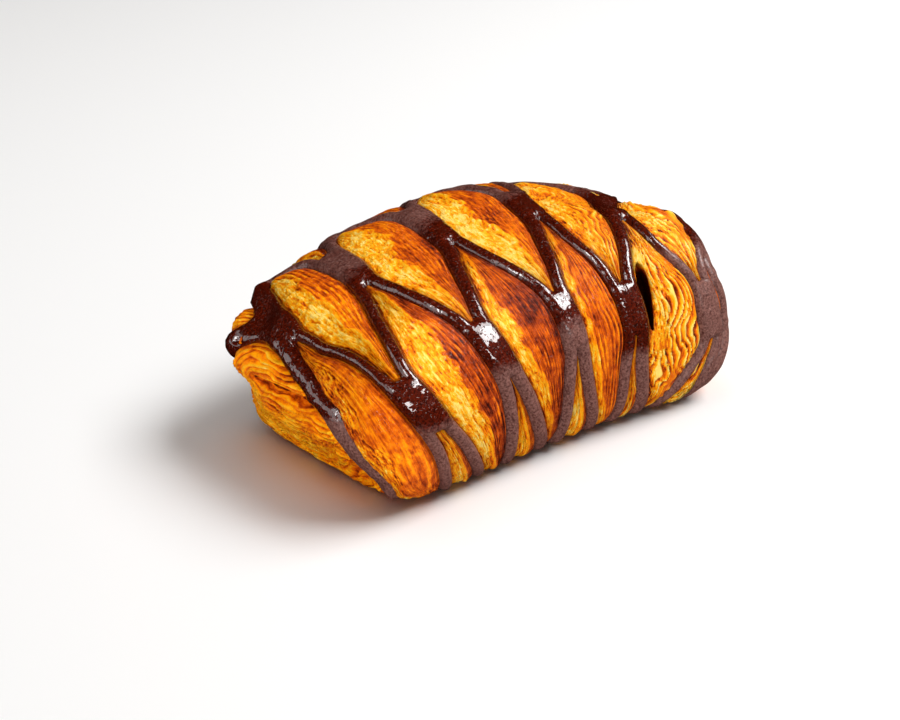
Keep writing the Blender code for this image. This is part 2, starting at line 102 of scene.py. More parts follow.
FRONT_ENDS = ((-0.0306, -0.0234), (-0.0164, -0.0066), (-0.002, 0.0082), (0.0146, 0.0212), (0.025, 0.0322))
FRONT_END_GIRTH = 214  # where the strips end at the front
BACK_END_GIRTH = -34  # and at the back
BACK_END_PULL = 0.75  # the back ends gather by this factor
BACK_END_SPREAD = 0.0036
# The first strip runs round the left end face and the last one round the right end
LEFT_RIM = (
    (-36, -0.037), (-20, -0.0425), (-4, -0.0465), (12, -0.0488), (28, -0.0498), (46, -0.0503),
    (62, -0.0533), (79, -0.056), (100, -0.0577), (148, -0.058), (185, -0.0547), (206, -0.0505),
    (214, -0.0468), (219, -0.0425), (223, -0.0385))
RIGHT_RIM = (
    (-36, 0.04), (-16, 0.05), (12, 0.055), (50, 0.056), (80, 0.0548), (106, 0.0519),
    (128, 0.047), (147, 0.0446), (156, 0.044), (172, 0.0456), (191, 0.0447), (205, 0.0385),
    (214, 0.034))
CORNER_OFFSETS = np.linspace(-5, 5, 5)  # degrees over which a strip's corners are rounded
WIDTH_OFFSETS = np.linspace(-8, 8, 9)  # and over which its width is evened out
SLANT_LIMIT = 0.4  # smallest share of a strip's width that is left along the roll
MERGE_WIDTH = 0.0006  # strips closer than this run together
SMALLEST_EDGE = 0.00004

# The crust's lobes between the strips
VALLEY_DEPTH = 0.0004
LOBE_RISE = 0.0015
LOBE_FULL_WIDTH = 0.006
LOBE_FILL = 0.85  # share of a lobe's width that its layers are counted over
# The end faces have a slot and a lip round it: height, distance from the slot's middle line and reach
SLOT = (-0.0022, 0.0, 0.0014)
LIP = (0.001, 0.0065, 0.0065 / 1.6)
# Ends of the slot's middle line (y and z), pitch of the layers in mm and random draw
CAPS = {"left_cap": (((0.01, 0.0215), (-0.019, 0.0235)), 1.45, 201),
        "right_cap": (((0.012, 0.022), (-0.016, 0.0225)), 2.5, 200)}

# The filling's channel, as in the solid, and the split, which is a little wider here and tapers
SPLIT_PLACE = (0.0262, -0.0418, 0.0355)
SPLIT_RUN = (0.0, -0.33, -0.94)
SPLIT_INWARD = (0.5, 0.8, -0.28)
SPLIT_LENGTH = 0.018
SPLIT_WIDTH = 0.003
SPLIT_TAPER = 0.4  # how much wider its upper end is, and narrower its lower end
SPLIT_DEPTH = 0.012
SPLIT_OUTSIDE = 0.005
SPLIT_SIDES = 24
SPLIT_DEPTH_STEPS = 17
FILLING_SIZE = (0.084, 0.012, 0.009)
FILLING_PLACE = (-0.002, -0.0275, 0.031)
FILLING_EDGE = 0.0024
FILLING_EDGE_STEPS = 2
CLEARANCE = 0.0004
LEAST_TAPER = 0.3
SPLIT_WALL = 0.51  # how far from its middle its walls reach, in split sizes
SPLIT_RIM = 0.72  # and its rim
SPLIT_ARCH = (0.3, 0.45)  # where the pale arch at its upper end starts and is full
SPLIT_TONE_AND_DEPTH_SHADE = (0.2, 0.9, 0.0025)  # tone of the walls' edge, how much painted shade darkens them deeper in, and by which depth
ARCH_TONES = (0.1, 0.9)  # tone of the arch's walls, and how much its rim pales

# Grid of the crust mesh
CRUST_COLUMNS = ((-46, 58, 74), (58, 226, 152), (226, 314, 12))  # from and to which girth, and how many
CAP_RINGS = 52
STRIP_RINGS = (0.0, 0.5, 1.0)
LOBE_RINGS = 28

# Grid of the net mesh
NET_COLUMNS = 330
NET_SHARES = (0.0, 0.14, 0.27, 0.4, 0.54, 0.7, 0.86, 1.0)
NET_MARGIN = 0.35  # how far the net dips into the crust beside a strip, in half widths
NET_DIP = 0.0011
NET_BOTTOM = -0.0019
NET_END_FRONT = 221
NET_END_BACK = -38
NET_SHOULDER = 1.9  # roundness of a strip's shoulders
NET_CROWN = 0.0005  # how much higher the middle of a wide band is
NET_BLEND = 0.3  # how softly two strips run together
NET_CROWN_REACH = 2.0  # in half widths, from the end of the band
NET_RIPPLES = (4, 2.5)  # the strips' unevenness: length in degrees, width in mm
NET_RIPPLE_HEIGHT = 0.0004
KNOB_HOLE = (-0.0503, 26)  # a small hole in the first knob: station and girth
KNOB_HOLE_RADIUS = 0.0011

# Where each strip turns matte on the front, and where on the crest; its colour there takes a painted greyish
# sheen of the pale surroundings
MATTE_SHEEN_STARTS = (172, 175, 175, 162, 162, 156, 156, 180, 180, 140, 140, 60)
MATTE_REACH = 10
MATTE_SHEEN_CREST = (98, 76)
CREST_MATTE_SHEEN = 0.6  # how matte the crest is, and how much painted sheen its colour takes

# Soft light panels: place, width and height in metres, power in watts
KEY_LIGHT = ((0.74, -0.42, 1.03), (0.9, 0.6), 21.5)
OVERHEAD_LIGHT = ((0.0, 0.3, 1.0), (0.8, 0.8), 2.0)
FLOOR_LIGHT = ((0, 0, 1.6), (3.0, 3.0), 5.0)
FILL_LIGHT = ((-0.6, -0.5, 0.4), (0.6, 0.6), 7.0)
RIGHT_FILL_LIGHT = ((0.9, -0.45, 0.25), (0.6, 0.6), 6.0)
# Panels that only draw highlights on the net, with their names
HIGHLIGHT_PANELS = (
    ("left_rim", (-0.75, -0.2, 0.7), (0.08, 0.5), 3.0),
    ("left_sheen", (-0.8, -0.15, 0.72), (0.6, 0.6), 5.0),
    ("left_low", (-0.85, 0.35, 0.25), (1.2, 0.5), 5.0),
    ("front_rim", (-0.15, -0.95, 0.16), (0.5, 0.1), 3.0),
    ("upper_window", (0.69, -0.45, 1.01), (0.16, 0.32), 4.0),
    ("lower_window", (0.65, -0.82, 0.77), (0.5, 0.4), 13.0))
LIGHT_TARGET = (0, 0, 0.02)
SURROUNDINGS = (1.0, 0.92, 0.84, 1.0)
SURROUNDINGS_STRENGTH = 0.16
FLOOR_SIZE = 4.0

HILL_TABLE = 64  # random hills repeat after this many


def blend(value, low, high):
    """0 below low, 1 above high and a smooth rise between."""
    share = np.clip((value - low) / (high - low), 0.0, 1.0)
    return share * share * (3.0 - 2.0 * share)


def bell(value, height, centre, reach):
    """A smooth hill of this height."""
    return height * np.exp(-((value - centre) / reach) ** 2)


def size_of(vectors):
    return np.linalg.norm(vectors, axis=-1)


def hills(x, y, seed):
    """Soft random hills between 0 and 1, one to each unit of x and of y."""
    table = np.random.default_rng(seed).random((HILL_TABLE, HILL_TABLE))
    cell_x, cell_y = np.floor(x).astype(int), np.floor(y).astype(int)
    share_x, share_y = blend(x - cell_x, 0.0, 1.0), blend(y - cell_y, 0.0, 1.0)
    rows = []
    for row in (cell_y % HILL_TABLE, (cell_y + 1) % HILL_TABLE):
        left, right = table[cell_x % HILL_TABLE, row], table[(cell_x + 1) % HILL_TABLE, row]
        rows.append(left * (1 - share_x) + right * share_x)
    return rows[0] * (1 - share_y) + rows[1] * share_y


# ---- the smooth roll


def roll_point(polar, girth):
    """Point of the smooth roll; both angles in radians, as numbers or arrays."""
    x = HALF_LENGTH * np.cos(polar) + 0.0 * girth
    y = HALF_WIDTH * np.sin(polar) * np.cos(girth)
    z = DIRECTION_RISE * np.sin(polar) * np.sin(girth)
    back = 0.5 + 0.5 * np.tanh(TURN_SHARPNESS * y / HALF_WIDTH)
    right = 0.5 + 0.5 * np.tanh(TURN_SHARPNESS * x / HALF_LENGTH)
    powers = [at_left * (1 - right) + at_right * right for at_left, at_right in PLAN_EXPONENTS]
    plan_power = powers[0] * (1 - back) + powers[1] * back
    rise_power = np.where(z >= 0, CROWN_EXPONENT, BELLY_EXPONENT)
    rise = np.where(z >= 0, CROWN_RISE, BELLY_DEPTH)
    plan = (np.abs(x / HALF_LENGTH) ** plan_power + np.abs(y / HALF_WIDTH) ** plan_power) ** (1 / plan_power)
    reach = (plan ** rise_power + np.abs(z / rise) ** rise_power) ** (-1 / rise_power)
    x, y, z = x * reach, y * reach, z * reach
    along = x / HALF_LENGTH
    low = np.clip(-z / BELT_HEIGHT, 0, 1) ** UNDERCUT[2]
    lift = RIGHT_LIFT[1] * blend(along, RIGHT_LIFT[0], 1.0)
    x += UNDERCUT[1] * blend(-along, UNDERCUT[0], 1.0) * low
    z = np.where(z > 0, z * (1 + CROWN_TILT * along), z * (1 - lift))
    y = y * (1 + WIDTH_TILT * along) + SWEEP * along ** 2
    return np.stack([x, y, np.maximum(z + BELT_HEIGHT, 0.0)], axis=-1)


def roll_slopes(polar, girth, step=1e-3):
    """How the point moves for each radian of polar and of girth."""
    by_polar = (roll_point(polar + step, girth) - roll_point(polar - step, girth)) / (2 * step)
    by_girth = (roll_point(polar, girth + step) - roll_point(polar, girth - step)) / (2 * step)
    return by_polar, by_girth


def roll_normal(polar, girth):
    """Outward direction of the smooth roll."""
    normal = np.cross(*roll_slopes(np.clip(polar, 0.02, math.pi - 0.02), girth))
    return normal / (np.linalg.norm(normal, axis=-1, keepdims=True) + 1e-12)


def swelling(polar, girth):
    """Unevenness of the whole roll."""
    station = HALF_LENGTH * np.cos(polar)
    degrees = np.degrees(girth)
    height = 0.0
    for place, centre, reach, spread, rise in SWELLINGS:
        turn = (degrees - centre + 180) % 360 - 180
        height += bell(station, rise, place, reach) * bell(turn, 1, 0, spread)
    return height


def surface_point(polar, girth, height):
    """Point at a height over the smooth roll. The height dies out at the table."""
    base = roll_point(polar, girth)
    above = blend(base[..., 2], *RELIEF_START)
    height = (height + swelling(polar, girth)) * above
    point = base + roll_normal(polar, girth) * height[..., None]
    point[..., 2] = np.maximum(point[..., 2], 0.0)
    return point + np.array(CENTRING)


# ---- the strips' paths


def smooth_path(points, girth):
    """Stations of a strip at the girths, from its points, with rounded corners."""
    degrees, stations = zip(*sorted(points))
    degrees = [*degrees, degrees[0] + 360]
    stations = [*stations, stations[0]]
    return np.mean([np.interp(girth + shift, degrees, stations) for shift in CORNER_OFFSETS], axis=0)


def node_point(node, side, spread=NODE_SPREAD):
    """A strip's place at a node that it shares with another."""
    return node[1], node[0] + side * spread


def strip_path(number, turn):
    """The strip that leaves a top split to the right (turn 1) or to the left (turn -1), where it meets
    the right-going one before. It goes from its back end to its front end."""
    node = number if turn > 0 else number - 1
    bends = [] if turn > 0 else [node_point(CREST_BENDS[node], 0)]
    bow = SHALLOW_BOWS[node] if turn > 0 else STEEP_BOWS[node]
    top = node_point(TOP_SPLITS[number], turn)
    meeting = node_point(FRONT_MEETINGS[node], -turn)
    girth, station = (first + (last - first) * BOW_PLACE for first, last in zip(top, meeting))
    return [(BACK_END_GIRTH, BACK_END_PULL * BACK_SPLITS[node][0] - turn * BACK_END_SPREAD),
            node_point(BACK_SPLITS[node], -turn),
            node_point(KNOBS[node], -turn), *bends,
            node_point(BAND_TOPS[number], turn, BAND_SPREAD),
            top, (girth, station + bow), meeting,
            node_point(FRONT_SPLITS[node], -turn),
            (FRONT_END_GIRTH, FRONT_ENDS[node][turn < 0])]


def all_strips():
    """Every strip from left to right."""
    last = len(TOP_SPLITS) - 1
    strips = [LEFT_RIM, strip_path(0, 1)]
    for number in range(1, last + 1):
        strips.append(strip_path(number, -1))
        strips.append(RIGHT_RIM if number == last else strip_path(number, 1))
    return strips


def strip_width_angle(polar, girth, half_width):
    """Half a strip's width as a polar angle, allowing for its slant."""
    by_polar, by_girth = roll_slopes(polar, girth)
    turn = np.gradient(polar, girth)[:, None]
    run = by_polar * turn + by_girth
    across = size_of(np.cross(by_polar, run)) / (size_of(run) + 1e-9)
    return half_width / np.maximum(across, SLANT_LIMIT * size_of(by_polar))


def even_out(values, degrees):
    """Values along a strip, averaged over a few degrees to both sides."""
    order = np.argsort(degrees % 360)
    known = (degrees % 360)[order], values[order]
    return np.mean([np.interp((degrees + shift) % 360, *known) for shift in WIDTH_OFFSETS], axis=0)


def strip_lines(degrees):
    """Middle line of each strip and half its width, as polar angles at every column."""
    lines = []
    for points, half_width in zip(all_strips(), STRIP_HALF_WIDTHS):
        polar = np.arccos(smooth_path(points, degrees) / HALF_LENGTH)
        half = strip_width_angle(polar, np.radians(degrees), half_width)
        lines.append((polar, even_out(half, degrees)))
    return lines


def joined_girths(number):
    """Girths between which a strip and the next one are one band. An even strip leaves a top split
    with the next one, and an odd one meets it on the front and on the back."""
    node = number // 2
    if number == 0:
        return []
    if number % 2 == 0:
        return [(BAND_TOPS[node][1], TOP_SPLITS[node][1])]
    return [(FRONT_MEETINGS[node][1], FRONT_SPLITS[node][1]),
            (BACK_SPLITS[node][1], KNOBS[node][1])]


def gap_width(left, right, girth):
    """Distance in metres between two polar angles at each girth."""
    return size_of(roll_point(left, girth) - roll_point(right, girth))


def joined_with_next(strips, number, degrees, merge_width=MERGE_WIDTH):
    """Where a strip runs into the next one, and the line on which they meet."""
    if not 0 <= number < len(strips) - 1:
        return np.zeros(len(degrees), dtype=bool), strips[0][0]
    (left, left_half), (right, right_half) = strips[number:number + 2]
    low, high = left - left_half, right + right_half
    joined = (low < high) | (gap_width(low, high, np.radians(degrees)) < merge_width)
    for start, end in joined_girths(number):
        joined |= ((degrees > start) & (degrees < end))
    return joined, (left + right) / 2


def strip_edges(strips, number, degrees, joined=joined_with_next, margin=0.0):
    """Left and right edge of a strip, moved out by a margin in half widths, or the line on which it
    meets its neighbour."""
    centre, half = strips[number]
    left_joined, left_meeting = joined(strips, number - 1, degrees)
    right_joined, right_meeting = joined(strips, number, degrees)
    reach = half * (1 + margin)
    left = np.where(left_joined, left_meeting, centre + reach)
    return left, np.where(right_joined, right_meeting, centre - reach)


# ---- the crust

# Looks of each lobe, from left to right: where its torn edge runs (share of its width), how high that
# edge is, the pitch and height of its layers, how far they wander, how lumpy the torn side is, and the
# tone on the left and on the right of the torn edge, from 0, cream, to 1, dark brown. Lengths on the
# crust are in mm.
LOOK_NAMES = ("edge", "step", "pitch", "ridge", "wander", "lumps", "left", "right")
LOBE_LOOKS = [dict(zip(LOOK_NAMES, looks)) for looks in (
    (0.52, 0.3, 1.5, 0.12, 1, 0.55, 0.48, 0.57),
    (0.5, 0.55, 1.4, 0.14, 1, 0.6, 0.23, 0.58),
    (0.48, 0.6, 1.3, 0.12, 1, 0.65, 0.24, 0.76),
    (0.42, 0.6, 1.3, 0.12, 1, 0.6, 0.2, 0.67),
    (0.26, 0.35, 1.4, 0.1, 1, 0.5, 0.22, 0.73),
    (0.45, 0.7, 1.4, 0.12, 1, 0.65, 0.14, 0.64),
    (0.2, 0.3, 1.5, 0.12, 1.2, 0.45, 0.14, 0.62),
    (0.4, 0.4, 2.1, 0.28, 3, 0.5, 0.3, 0.46),
    (0.38, 0.35, 2.3, 0.36, 3.4, 0.5, 0.36, 0.5),
    (0.42, 0.4, 2.1, 0.36, 3.2, 0.5, 0.36, 0.5),
    (0.35, 0.15, 1.6, 0.16, 1.5, 0.25, 0.48, 0.58),
)]
# A lobe's kinds of unevenness: length along, width across and the number of its random draw
LOBE_HILLS = {"edge": (9, 1, 1), "edge_fine": (2.6, 6, 2), "warp": (10, 8, 3), "warp_fine": (3.5, 5, 4),
              "strength": (5, 3, 5), "lumps": (3.6, 1.1, 6), "tone": (9, 4, 7), "lumps_fine": (1.5, 0.8, 8)}
EDGE_SWAYS = (0.2, 0.16)  # of the torn edge, in shares of the lobe's width
EDGE_SLOPE = (-0.3, 0.2)  # where it rises
EDGE_CURL = (0.3, 0.45, 0.5)  # its curl: share of its height, place and reach
WARPS = (1.5, 0.4)  # how far the layers are pushed out of line, in layers
LAYER_STRENGTH = (2.2, -0.2, 0.15, 1.6)  # how unevenly they stand out: slope, shift and limits
LEAST_WAVE = -0.35  # how deep their troughs count for the darker tone, which is partly painted shade
FINE_LUMPS = 0.8
STRIP_SHORE = 1.2  # distance from a strip over which layers and lumps set in
# Changes of tone, some of them painted light and shade: amount, and where it starts and is whole, or its
# centre and reach
EDGE_TONES = (-0.5, 1.0)
# Browner towards the right strip, and a thin paler rim right at it: a paler dough edge, partly a painted
# highlight
RIGHT_TONES_AND_HIGHLIGHT = ((0.12, 3.0, 0.5), (-0.12, 0.6, 0.2))
# Painted shade beside the left strip: a browner band, and a dark line right at it
LEFT_PAINTED_SHADES = ((0.12, 2.0, 0.6), (0.3, 0.7, 0.3))
# Painted shadow under the torn flake's edge and a painted highlight on its rim
FLAKE_SHADOW_AND_HIGHLIGHT = ((0.4, -0.25, 0.22), (-0.35, 0.35, 0.3))
# Layers lighter on their crests and darker in their troughs: partly their own colour, partly painted
# highlight and shade
LAYER_TONE_AND_PAINTED_LIGHT = 1.4
# Lumps of the torn side lighter, their hollows darker: painted light and shade
LUMP_PAINTED_LIGHT = 0.3
TONE_SPREAD = 0.22
# The end faces: hills to a mm round the slot and across the layers, and their draw
CAP_HILLS = {"warp": (0.35, 0.25, 0), "warp_fine": (1.1, 0.7, 1), "strength": (0.3, 0.4, 2),
             "tone": (0.25, 0.2, 3)}
CAP_WARPS = (1.6, 0.45)
CAP_AROUND = (0.5, 0.35)  # the way round an end face, from y and z
CAP_STRENGTH = 0.5
CAP_LAYER_HEIGHT = 0.38
CAP_LAYER_START = (0.8, 2.5)
CAP_SHORE = 0.1  # share of the way to the strip over which the layers end
CAP_TONE = 0.42
# The end faces' layers likewise: partly their own colour, partly painted highlight and shade
CAP_LAYER_TONE_AND_PAINTED_LIGHT = 0.2
CAP_TONE_SPREAD = 0.25
# Darker along the slot: painted shade in its groove
SLOT_PAINTED_SHADE = (0.3, 0.0, 1.6)
CAP_TORN = 0.05
CAP_GRAIN = 0.6  # grain to a mm across the layers
LOBE_GRAIN_WARP = 0.7
STRIP_TONE = 0.6  # of the crust under the chocolate
TIP_TONE = 0.7  # of the middle of an end face


def crust_columns():
    """Girth in degrees of each column of the crust, once round the roll."""
    return np.concatenate([np.linspace(*part, endpoint=False) for part in CRUST_COLUMNS])


def inner_shares(count):
    """Evenly spaced shares of the way between two edges, without the edges."""
    return [step / (count + 1) for step in range(1, count + 1)]


def rings_between(kind, shares, start, end, **more):
    """Rings of the crust at shares of the way between two lines."""
    return [dict(more, kind=kind, share=share, polar=start + (end - start) * share) for share in shares]


def crust_rings(degrees):
    """Every ring of the crust from the left end to the right end."""
    strips = strip_lines(degrees)
    edges = [strip_edges(strips, number, degrees) for number in range(len(strips))]
    cap = inner_shares(CAP_RINGS)
    rings = rings_between("left_cap", cap, math.pi, edges[0][0])
    for number, (left, right) in enumerate(edges):
        rings += rings_between("strip", STRIP_RINGS, left, right)
        if number < len(edges) - 1:
            end = edges[number + 1][0]
            width = gap_width(right, end, np.radians(degrees))
            rings += rings_between("lobe", inner_shares(LOBE_RINGS), right, end, lobe=number, width=width)
    return rings + rings_between("right_cap", cap[::-1], 0.0, edges[-1][1])


def slot_distance(point, slot):
    """Distance from the slot of an end face, in metres."""
    (y_0, z_0), (y_1, z_1) = slot
    run_y, run_z = y_1 - y_0, z_1 - z_0
    share = ((point[..., 1] - y_0) * run_y + (point[..., 2] - z_0) * run_z) / (run_y ** 2 + run_z ** 2)
    share = np.clip(share, 0, 1)
    return np.hypot(point[..., 1] - y_0 - share * run_y, point[..., 2] - z_0 - share * run_z)


def layer_wave(phase):
    """Stacked layers: a lean wave between -1 and 1, one layer to each unit."""
    turn = 2 * math.pi * phase
    return np.sin(turn + 0.6 * np.sin(turn))


def cap_hills(name, around, across, seed):
    """One of an end face's kinds of unevenness, between 0 and 1."""
    by_around, by_across, draw = CAP_HILLS[name]
    return hills(around * by_around, across * by_across, seed + draw)


def cap_surface(ring, girth, slot, pitch, seed):
    """Height, tone, tear and grain of an end face, whose layers run round its slot."""
    base = roll_point(ring["polar"], girth)
    distance = slot_distance(base, slot)
    heights = bell(distance, *LIP) + bell(distance, *SLOT)
    across = distance / MM
    around = base[..., 1] / MM * CAP_AROUND[0] + base[..., 2] / MM * CAP_AROUND[1]
    warp = cap_hills("warp", around, across, seed) * CAP_WARPS[0]
    warp += cap_hills("warp_fine", around, across, seed) * CAP_WARPS[1]
    wave = layer_wave(across / pitch + warp) * (CAP_STRENGTH + cap_hills("strength", around, across, seed))
    heights += CAP_LAYER_HEIGHT * MM * wave * blend(across, *CAP_LAYER_START)
    free = blend(1 - ring["share"], 0.0, CAP_SHORE)
    heights = heights * free - VALLEY_DEPTH * (1 - free)
    # Painted highlight and shade on the layers' crests and troughs, partly their own colour, and painted
    # shade along the slot
    tone = CAP_TONE - CAP_LAYER_TONE_AND_PAINTED_LIGHT * wave + bell(across, *SLOT_PAINTED_SHADE)
    tone += CAP_TONE_SPREAD * (cap_hills("tone", around, across, seed) - 0.5)
    grain = np.stack([CAP_GRAIN * across + warp, around, CAP_GRAIN * across + seed], axis=-1)
    return heights, tone, CAP_TORN + 0 * across, grain


def film_arch(share):
    """Girth in degrees of the film's lower edge, at a share of the way between the first two strips."""
    return FILM_END + FILM_SAG * 4 * share * (1 - share)


def lobe_places(points, right_edge, middle):
    """How far along a lobe the points of a ring lie and how far from its right edge, in mm."""
    run = np.gradient(middle, axis=0)
    length = np.linalg.norm(run, axis=-1, keepdims=True)
    run = run / (length + 1e-9)
    along = np.cumsum(length[:, 0]) + np.sum((points - middle) * run, axis=-1)
    inward = points - right_edge
    inward = inward - np.sum(inward * run, axis=-1, keepdims=True) * run
    return along / MM, size_of(inward) / MM


def lobe_hills(name, seed, along, across, shift=0):
    """One of a lobe's kinds of unevenness, between 0 and 1."""
    length, width, draw = LOBE_HILLS[name]
    return hills(along / length, across / width + shift, seed + draw)


def lobe_tone(looks, past_edge, from_left, from_right):
    """Tone of a lobe by the distances from its torn edge and from its strips, with painted shade and
    highlights by the strips and the flake.
    """
    tone = looks["left"] + (looks["right"] - looks["left"]) * blend(past_edge, *EDGE_TONES)
    # The shades by the strips include painted shade by the left strip and a painted highlight on the rim at
    # the right one
    for distance, shades in ((from_right, RIGHT_TONES_AND_HIGHLIGHT), (from_left, LEFT_PAINTED_SHADES)):
        for amount, *places in shades:
            tone += amount * blend(distance, *places)
    # Painted shadow under the torn flake's edge and a painted highlight on its rim
    for shade in FLAKE_SHADOW_AND_HIGHLIGHT:
        tone += bell(past_edge, *shade) * looks["step"]
    return tone


def lobe_surface(ring, along, from_right, width):
    """Height, tone, tear and grain of a lobe: layers on its right, torn open on its left."""
    looks = LOBE_LOOKS[ring["lobe"]]
    seed = 10 * ring["lobe"]
    share = ring["share"]
    from_left = np.maximum(width - from_right, 0)
    full = np.clip(ring["width"] / LOBE_FULL_WIDTH, 0, 1)
    edge = looks["edge"] + EDGE_SWAYS[0] * (lobe_hills("edge", seed, along, 0 * along) - 0.5)
    edge += EDGE_SWAYS[1] * (lobe_hills("edge_fine", seed, along, from_right) - 0.5)
    past_edge = (share - edge) * width
    torn = 1 - blend(past_edge, *EDGE_SLOPE)
    across = (1 - share) * LOBE_FILL * np.max(width) + 0 * along
    warp = lobe_hills("warp", seed, along, across) * WARPS[0]
    warp = (warp + lobe_hills("warp_fine", seed, along, across) * WARPS[1]) * looks["wander"]
    wave = layer_wave(across / looks["pitch"] + warp)
    slope, shift, *limits = LAYER_STRENGTH
    strength = np.clip(slope * lobe_hills("strength", seed, along, across) + shift, *limits)
    lump = lobe_hills("lumps", seed, along, across, warp) - 0.5
    lump = (lump + FINE_LUMPS * (lobe_hills("lumps_fine", seed, along, across, warp) - 0.5)) * torn
    relief = looks["ridge"] * wave * strength + looks["lumps"] * lump
    relief = relief * blend(np.minimum(from_left, from_right), 0.0, STRIP_SHORE)
    relief += looks["step"] * (bell(past_edge, *EDGE_CURL) - torn)
    heights = (LOBE_RISE * math.sqrt(4 * share * (1 - share)) + MM * relief) * full - VALLEY_DEPTH
    # Painted light on the lumps and painted shade in their hollows
    tone = lobe_tone(looks, past_edge, from_left, from_right) - LUMP_PAINTED_LIGHT * lump
    # Lighter crests and darker troughs of the layers: partly their own colour, partly painted highlight and
    # shade
    tone = tone - LAYER_TONE_AND_PAINTED_LIGHT * looks["ridge"] * np.maximum(wave, LEAST_WAVE) * strength
    tone += TONE_SPREAD * (lobe_hills("tone", seed, along, across) - 0.5)
    grain = np.stack([across + LOBE_GRAIN_WARP * warp, along, across + 3 * seed], axis=-1)
    return heights, tone, torn, grain


def crust_surface(rings, girth):
    """Points of the crust's grid and its surface attributes."""
    degrees = np.degrees(girth)
    polar = np.array([ring["polar"] for ring in rings])
    base = roll_point(polar, girth[None, :])
    surfaces = []
    for number, ring in enumerate(rings):
        if ring["kind"] == "lobe":
            if rings[number - 1]["kind"] != "lobe":
                left_edge, right_edge = base[number - 1], base[number + LOBE_RINGS]
                middle = base[number + LOBE_RINGS // 2]
                width = lobe_places(left_edge, right_edge, middle)[1]
            along, from_right = lobe_places(base[number], right_edge, middle)
            height, *looks = lobe_surface(ring, along, from_right, width)
            if ring["lobe"] == 0:
                bare = film_arch(ring["share"]) - FILM_SHORE
                covered = blend(degrees, bare, bare + FILM_SHORE) * (degrees < FILM_TOP)
                height = height * (1 - covered) - VALLEY_DEPTH * covered
            surfaces.append((height, *looks))
        elif ring["kind"] == "strip":
            none = 0 * girth
            surfaces.append((none - VALLEY_DEPTH, none + STRIP_TONE, none, np.stack([none] * 3, axis=-1)))
        else:
            surfaces.append(cap_surface(ring, girth, *CAPS[ring["kind"]]))
    heights, tones, tears, grains = (np.array(part) for part in zip(*surfaces))
    return surface_point(polar, girth[None, :], heights), tones, tears, grains


def grid_numbers(points):
    """Number of the vertex at each place of a grid; rings that come too close share theirs."""
    rings, columns = points.shape[:2]
    numbers = np.arange(rings * columns).reshape(rings, columns)
    kept = points.copy()
    for ring in range(1, rings):
        close = size_of(kept[ring] - kept[ring - 1]) < SMALLEST_EDGE
        numbers[ring][close] = numbers[ring - 1][close]
        kept[ring][close] = kept[ring - 1][close]
    return numbers


def grid_faces(numbers, wrap, skip=()):
    """Faces between neighbouring rings and columns, without the cells that have closed up."""
    rings, columns = numbers.shape
    faces = []
    for ring in range(rings - 1):
        if ring in skip:
            continue
        first, second = numbers[ring], numbers[ring + 1]
        for column in range(columns if wrap else columns - 1):
            after = (column + 1) % columns
            corners = (first[column], first[after], second[after], second[column])
            corners = [corner for place, corner in enumerate(corners) if corner != corners[place - 1]]
            if len(corners) > 2:
                faces.append(corners)
    return faces


def new_object(name, data):
    """An object in the scene."""
    thing = bpy.data.objects.new(name, data)
    bpy.context.scene.collection.objects.link(thing)
    return thing


def mesh_object(name, points, faces, attributes=()):
    """A smooth-shaded mesh object, without the points that no face uses."""
    used = sorted({corner for face in faces for corner in face})
    renumber = {old: new for new, old in enumerate(used)}
    mesh = bpy.data.meshes.new(name)
    mesh.from_pydata(points[used].tolist(), [], [[renumber[corner] for corner in face] for face in faces])
    for label, values in attributes:
        kind, field = ("FLOAT", "value") if values.ndim == 1 else ("FLOAT_VECTOR", "vector")
        mesh.attributes.new(label, kind, "POINT").data.foreach_set(field, values[used].ravel())
    mesh.shade_smooth()
    return new_object(name, mesh)


def make_crust():
    """The baked crust as a closed mesh."""
    degrees = crust_columns()
    girth = np.radians(degrees)
    rings = crust_rings(degrees)
    points, tones, tears, grains = crust_surface(rings, girth)
    numbers = grid_numbers(points)
    faces = grid_faces(numbers, wrap=True)
    flat = points.reshape(-1, 3)
    for column in range(len(girth)):
        after = (column + 1) % len(girth)
        faces.append([len(flat), numbers[0, after], numbers[0, column]])
        faces.append([len(flat) + 1, numbers[-1, column], numbers[-1, after]])
    tips = surface_point(np.array([math.pi, 0.0]), np.zeros(2), np.full(2, SLOT[0]))
    flat = np.concatenate([flat, tips])
    tip = np.array([TIP_TONE, TIP_TONE])
    attributes = [("tone", np.concatenate([tones.ravel(), tip])),
                  ("torn", np.concatenate([tears.ravel(), 0 * tip])),
                  ("grain", np.concatenate([grains.reshape(-1, 3), np.zeros((2, 3))]))]
    return mesh_object("crust", flat, faces, attributes)


def make_cutter(name, size, place, rotation, edge=0.0):
    """A closed shape to be taken out of the crust: a bar with rounded edges, or a lens."""
    body = bmesh.new()
    if edge:
        bmesh.ops.create_cube(body, size=1.0)
    else:
        bmesh.ops.create_cone(body, cap_ends=True, segments=SPLIT_SIDES, radius1=0.5, radius2=0.5, depth=1.0)
    for step in range(1, SPLIT_DEPTH_STEPS):
        height = step / SPLIT_DEPTH_STEPS - 0.5
        bmesh.ops.bisect_plane(body, geom=body.verts[:] + body.edges[:] + body.faces[:],
                               plane_co=(0, 0, height), plane_no=(0, 0, 1))
    bmesh.ops.scale(body, verts=body.verts, vec=size)
    if edge:
        bmesh.ops.bevel(body, geom=body.edges, offset=edge, segments=FILLING_EDGE_STEPS, profile=0.5,
                        affect="EDGES")
    mesh = bpy.data.meshes.new(name)
    body.to_mesh(mesh)
    body.free()
    cutter = new_object(name, mesh)
    cutter.location = Vector(place) + Vector(CENTRING)
    cutter.rotation_euler = rotation
    return cutter


def split_taper(run):
    """Width of the split against its middle, at a place down its run, from -0.5 to 0.5."""
    return 1 - SPLIT_TAPER * 2 * run


